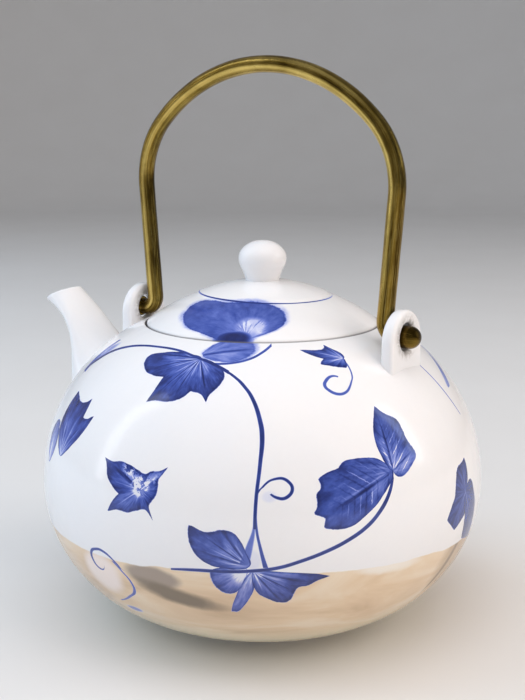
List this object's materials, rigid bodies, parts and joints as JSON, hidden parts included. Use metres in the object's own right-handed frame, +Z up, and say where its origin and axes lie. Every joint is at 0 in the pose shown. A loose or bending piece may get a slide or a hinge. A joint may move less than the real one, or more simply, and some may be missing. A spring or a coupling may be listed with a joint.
{
  "type": "teapot",
  "caption": "Round glazed porcelain teapot with blue vine painting, curved spout, domed lid with a ball knob, and a swinging brass bail handle held in two lugs.",
  "frame": {"origin": "middle of the foot ring's lower face, on the table and on the pot's axis", "axes": "+Z up along the pot's axis; the spout points towards -X; the bail pivots about a line along X"},
  "size_m": [0.1943, 0.166, 0.2092],
  "materials": {
    "painted_glaze": "glossy clear glaze over white porcelain, with cobalt blue underglaze painting",
    "white_glaze": "glossy clear glaze over white porcelain",
    "aged_brass": "polished brass with a brown-green patina"
  },
  "bodies": {
    "pot": {"body_shoulder": "painted_glaze", "body_bowl": "painted_glaze", "foot_ring": "painted_glaze", "spout": "painted_glaze", "spout_side_lug": "white_glaze", "rear_lug": "white_glaze"},
    "lid": {"lid_dome": "painted_glaze", "lid_collar": "white_glaze", "lid_knob": "white_glaze"},
    "bail": {"bail_rod": "aged_brass", "spout_side_cap": "aged_brass", "rear_cap": "aged_brass"}
  },
  "joints": [
    {"name": "bail_pivot", "type": "hinge", "parent": "pot", "child": "bail", "pos_m": [0, 0, 0.1125], "axis": [1, 0, 0], "range_deg": [-95, 95]},
    {"name": "lid_lift", "type": "slide", "parent": "pot", "child": "lid", "axis": [0, 0, 1], "range_m": [0, 0.045]}
  ]
}
